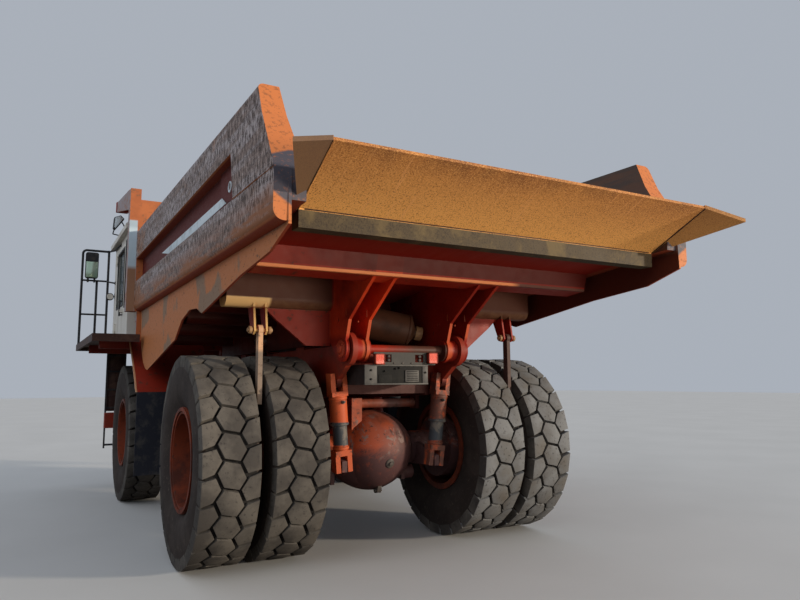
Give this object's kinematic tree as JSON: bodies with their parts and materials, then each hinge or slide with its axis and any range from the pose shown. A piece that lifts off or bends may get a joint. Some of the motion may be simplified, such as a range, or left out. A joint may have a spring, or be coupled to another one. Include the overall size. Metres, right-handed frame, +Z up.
{
  "type": "rigid haul truck",
  "caption": "Rigid mining haul truck with dual rear wheels, a ribbed tipping bed with upswept tail and a canopy over an offset cab.",
  "frame": {"origin": "centre of the overall footprint, on the ground", "axes": "+X towards the front of the truck, +Y to its left, +Z up"},
  "size_m": [8.99, 4.8, 4.49],
  "materials": {
    "frame_red": "satin",
    "axle_orange": "satin",
    "wheel_orange": "satin",
    "body_tan": "matte",
    "tail_rust": "matte",
    "scraped_steel": "matte",
    "hoist_steel": "gloss",
    "iron_grey": "matte",
    "cab_cream": "satin",
    "deck_blue": "satin",
    "black_steel": "satin",
    "lamp_grey": "satin",
    "lamp_red": "gloss",
    "window_glass": "gloss",
    "seat_black": "matte",
    "flap_rubber": "matte",
    "tyre_rubber": "matte"
  },
  "bodies": {
    "chassis": {"frame_rails": "frame_red", "rear_axle": "axle_orange", "rear_links": "axle_orange", "rear_struts": "axle_orange", "driveline": "iron_grey", "engine_block": "iron_grey", "front_struts": "frame_red", "front_bumper": "frame_red", "radiator_grille": "black_steel", "engine_hood": "cab_cream", "decks": "deck_blue", "deck_beams": "frame_red", "cab_shell": "cab_cream", "cab_roof": "cab_cream", "cab_glass": "window_glass", "cab_interior": "seat_black", "front_fenders": "cab_cream", "mudflaps": "flap_rubber", "side_tanks": "deck_blue", "muffler": "iron_grey", "lamp_tray": "lamp_grey", "lamps": "lamp_red", "handrails": "black_steel", "mirrors": "black_steel"},
    "bed": {"bed_floor": "scraped_steel", "bed_underframe": "frame_red", "bed_ducktail": "tail_rust", "bed_side_left": "body_tan", "bed_side_right": "body_tan", "bed_headboard": "body_tan", "bed_canopy": "body_tan"},
    "cab_door": {"cab_door": "cab_cream", "cab_door_glass": "window_glass"},
    "tie_rod": {"tie_rod": "frame_red"},
    "hoist_barrel_left": {"hoist_barrel_left": "frame_red"},
    "hoist_sleeve_left": {"hoist_sleeve_left": "hoist_steel"},
    "hoist_rod_left": {"hoist_rod_left": "hoist_steel"},
    "knuckle_left": {"knuckle_left": "frame_red"},
    "front_wheel_left": {"front_tyre_left": "tyre_rubber", "front_rim_left": "wheel_orange"},
    "rear_wheels_left": {"rear_outer_tyre_left": "tyre_rubber", "rear_inner_tyre_left": "tyre_rubber", "rear_rims_left": "wheel_orange"},
    "rock_ejector_left": {"rock_ejector_left": "scraped_steel"},
    "hoist_barrel_right": {"hoist_barrel_right": "frame_red"},
    "hoist_sleeve_right": {"hoist_sleeve_right": "hoist_steel"},
    "hoist_rod_right": {"hoist_rod_right": "hoist_steel"},
    "knuckle_right": {"knuckle_right": "frame_red"},
    "front_wheel_right": {"front_tyre_right": "tyre_rubber", "front_rim_right": "wheel_orange"},
    "rear_wheels_right": {"rear_outer_tyre_right": "tyre_rubber", "rear_inner_tyre_right": "tyre_rubber", "rear_rims_right": "wheel_orange"},
    "rock_ejector_right": {"rock_ejector_right": "scraped_steel"}
  },
  "joints": [
    {"name": "bed_tip", "type": "hinge", "parent": "chassis", "child": "bed", "pos_m": [-2.265, 0, 1.913], "axis": [0, -1, 0], "range_deg": [0, 50]},
    {"name": "cab_door_swing", "type": "hinge", "parent": "chassis", "child": "cab_door", "pos_m": [3.871, 1.898, 2.45], "axis": [0, 0, -1], "range_deg": [0, 75]},
    {"name": "hoist_swing_left", "type": "hinge", "parent": "chassis", "child": "hoist_barrel_left", "pos_m": [-0.405, 0.715, 0.85], "axis": [0, -1, 0], "range_deg": [0, 25.72]},
    {"name": "hoist_first_left", "type": "slide", "parent": "hoist_barrel_left", "child": "hoist_sleeve_left", "axis": [0.2334, 0, 0.9724], "range_m": [0, 0.8091]},
    {"name": "hoist_second_left", "type": "slide", "parent": "hoist_sleeve_left", "child": "hoist_rod_left", "axis": [0.2334, 0, 0.9724], "range_m": [0, 0.8091]},
    {"name": "steer_left", "type": "hinge", "parent": "chassis", "child": "knuckle_left", "pos_m": [2.495, 1.22, 0.935], "axis": [0, 0, 1], "range_deg": [-35, 35]},
    {"name": "front_roll_left", "type": "hinge", "parent": "knuckle_left", "child": "front_wheel_left", "pos_m": [2.495, 1.66, 0.935], "axis": [0, 1, 0], "continuous": true},
    {"name": "rear_roll_left", "type": "hinge", "parent": "chassis", "child": "rear_wheels_left", "pos_m": [-1.505, 1.35, 0.935], "axis": [0, 1, 0], "continuous": true},
    {"name": "ejector_swing_left", "type": "hinge", "parent": "bed", "child": "rock_ejector_left", "pos_m": [-2.095, 1.35, 2.07], "axis": [0, 1, 0], "range_deg": [-55, 55]},
    {"name": "hoist_swing_right", "type": "hinge", "parent": "chassis", "child": "hoist_barrel_right", "pos_m": [-0.405, -0.715, 0.85], "axis": [0, -1, 0], "range_deg": [0, 25.72]},
    {"name": "hoist_first_right", "type": "slide", "parent": "hoist_barrel_right", "child": "hoist_sleeve_right", "axis": [0.2334, 0, 0.9724], "range_m": [0, 0.8091]},
    {"name": "hoist_second_right", "type": "slide", "parent": "hoist_sleeve_right", "child": "hoist_rod_right", "axis": [0.2334, 0, 0.9724], "range_m": [0, 0.8091]},
    {"name": "steer_right", "type": "hinge", "parent": "chassis", "child": "knuckle_right", "pos_m": [2.495, -1.22, 0.935], "axis": [0, 0, 1], "range_deg": [-35, 35]},
    {"name": "front_roll_right", "type": "hinge", "parent": "knuckle_right", "child": "front_wheel_right", "pos_m": [2.495, -1.66, 0.935], "axis": [0, 1, 0], "continuous": true},
    {"name": "rear_roll_right", "type": "hinge", "parent": "chassis", "child": "rear_wheels_right", "pos_m": [-1.505, -1.35, 0.935], "axis": [0, 1, 0], "continuous": true},
    {"name": "ejector_swing_right", "type": "hinge", "parent": "bed", "child": "rock_ejector_right", "pos_m": [-2.095, -1.35, 2.07], "axis": [0, 1, 0], "range_deg": [-55, 55]},
    {"name": "tie_rod_turn", "type": "hinge", "parent": "knuckle_left", "child": "tie_rod", "pos_m": [2.135, 1.22, 0.66], "axis": [0, 0, 1], "range_deg": [-35, 35]}
  ],
  "couplings": [
    {"joint": "hoist_swing_left", "follows": "bed_tip", "ratio": 0.5144},
    {"joint": "hoist_first_left", "follows": "bed_tip", "m_per_rad": 0.92716},
    {"joint": "hoist_second_left", "follows": "bed_tip", "m_per_rad": 0.92716},
    {"joint": "hoist_swing_right", "follows": "bed_tip", "ratio": 0.5144},
    {"joint": "hoist_first_right", "follows": "bed_tip", "m_per_rad": 0.92716},
    {"joint": "hoist_second_right", "follows": "bed_tip", "m_per_rad": 0.92716},
    {"joint": "steer_right", "follows": "steer_left", "ratio": 1},
    {"joint": "tie_rod_turn", "follows": "steer_left", "ratio": -1}
  ]
}
